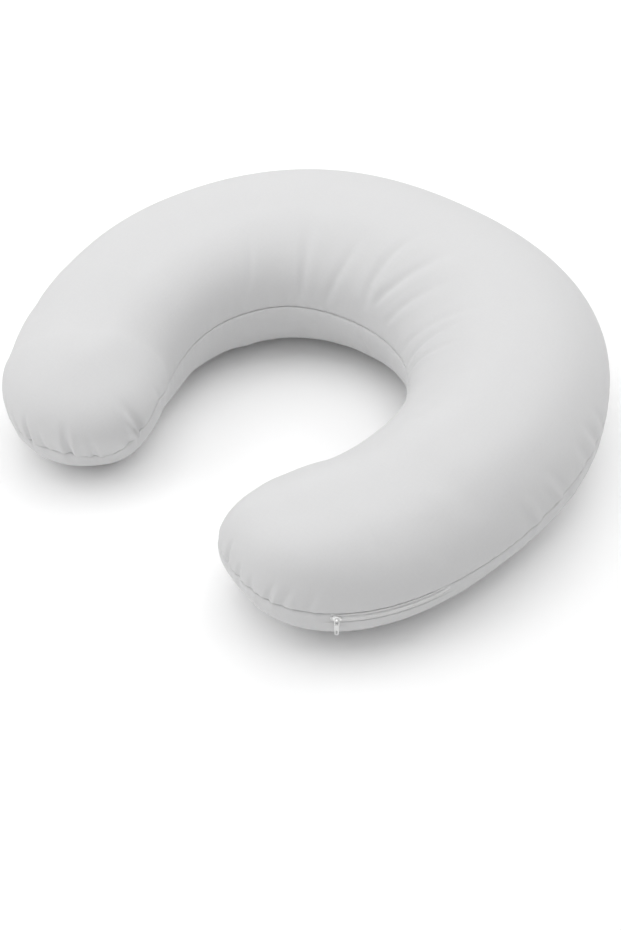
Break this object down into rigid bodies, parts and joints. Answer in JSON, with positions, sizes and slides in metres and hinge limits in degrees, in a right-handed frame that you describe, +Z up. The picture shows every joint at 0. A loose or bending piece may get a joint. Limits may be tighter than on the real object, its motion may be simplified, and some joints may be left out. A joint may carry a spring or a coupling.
{
  "type": "pregnancy pillow",
  "caption": "C-shaped filled pillow cover sewn from two panels, round ends, gathered side seam, zip with wire loop and moulded tab at one end.",
  "frame": {"origin": "under the middle of the pillow's box, on the surface that it rests on", "axes": "+Z up out of the upper panel, the mouth of the C faces -Y, the arm with the zip is at +X"},
  "size_m": [0.5957, 0.5616, 0.1501],
  "materials": {
    "cover": "matt, fine plain weave",
    "tape": "matt woven tape",
    "coil": "satin coil",
    "metal": "plated, satin",
    "tab": "soft moulded"
  },
  "bodies": {
    "root": {"filled_cover": "cover", "zip_tape_upper": "tape", "zip_coil": "coil", "zip_tape_lower": "tape", "zip_slider": "metal", "zip_pull_loop": "metal", "zip_pull_tab": "tab"}
  },
  "joints": []
}
